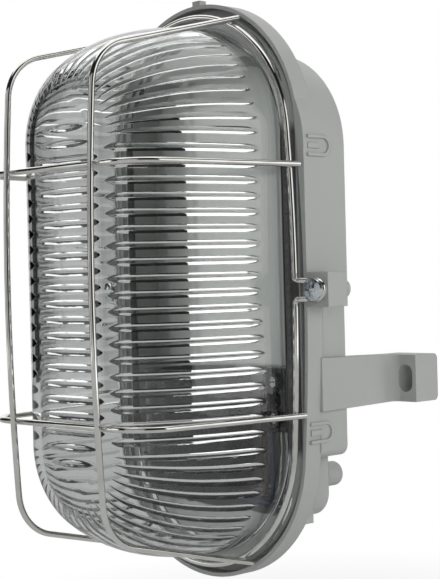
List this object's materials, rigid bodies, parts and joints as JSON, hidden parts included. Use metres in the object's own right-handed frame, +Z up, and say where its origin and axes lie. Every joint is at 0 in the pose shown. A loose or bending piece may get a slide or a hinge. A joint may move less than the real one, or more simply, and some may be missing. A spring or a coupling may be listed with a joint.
{
  "type": "oval cage light",
  "caption": "Oval wall light with a ribbed glass dome, a wire guard held by two screws, a grey moulded base on two stand-off feet and a screw-cap lampholder.",
  "frame": {"origin": "on the wall plane behind the middle of the light, where the axis of the oval meets the wall", "axes": "+X to the light's right seen from the front, -Y out of the wall towards the glass dome, +Z up along the oval's long axis"},
  "size_m": [0.1262, 0.1323, 0.215],
  "materials": {
    "base_plastic": "fine satin, moulded",
    "gasket_rubber": "matt",
    "ribbed_glass": "pressed, faint green edges",
    "guard_wire": "bright plated",
    "screw_steel": "bright zinc plated",
    "grommet_rubber": "matt",
    "holder_plastic": "moulded",
    "contact_brass": "plain",
    "bracket_steel": "zinc plated",
    "lead_live_sleeve": "insulation",
    "lead_neutral_sleeve": "insulation"
  },
  "bodies": {
    "root": {"base": "base_plastic", "gasket": "gasket_rubber", "glass": "ribbed_glass", "guard_ring": "guard_wire", "long_bar_right": "guard_wire", "long_bar_left": "guard_wire", "cross_bar_upper": "guard_wire", "cross_bar_lower": "guard_wire", "cover_screw_right": "screw_steel", "cover_screw_left": "screw_steel", "lug_inserts": "contact_brass", "cable_grommet": "grommet_rubber", "lampholder_body": "holder_plastic", "lampholder_insert": "holder_plastic", "thread_sleeve": "contact_brass", "centre_contact": "contact_brass", "holder_terminals": "contact_brass", "holder_terminal_screws": "screw_steel", "holder_bracket": "bracket_steel", "bracket_screws": "screw_steel", "holder_screws": "screw_steel", "terminal_block": "holder_plastic", "block_tubes": "contact_brass", "block_screws": "screw_steel", "block_fixing_screw": "screw_steel", "lead_live": "lead_live_sleeve", "lead_neutral": "lead_neutral_sleeve"}
  },
  "joints": []
}
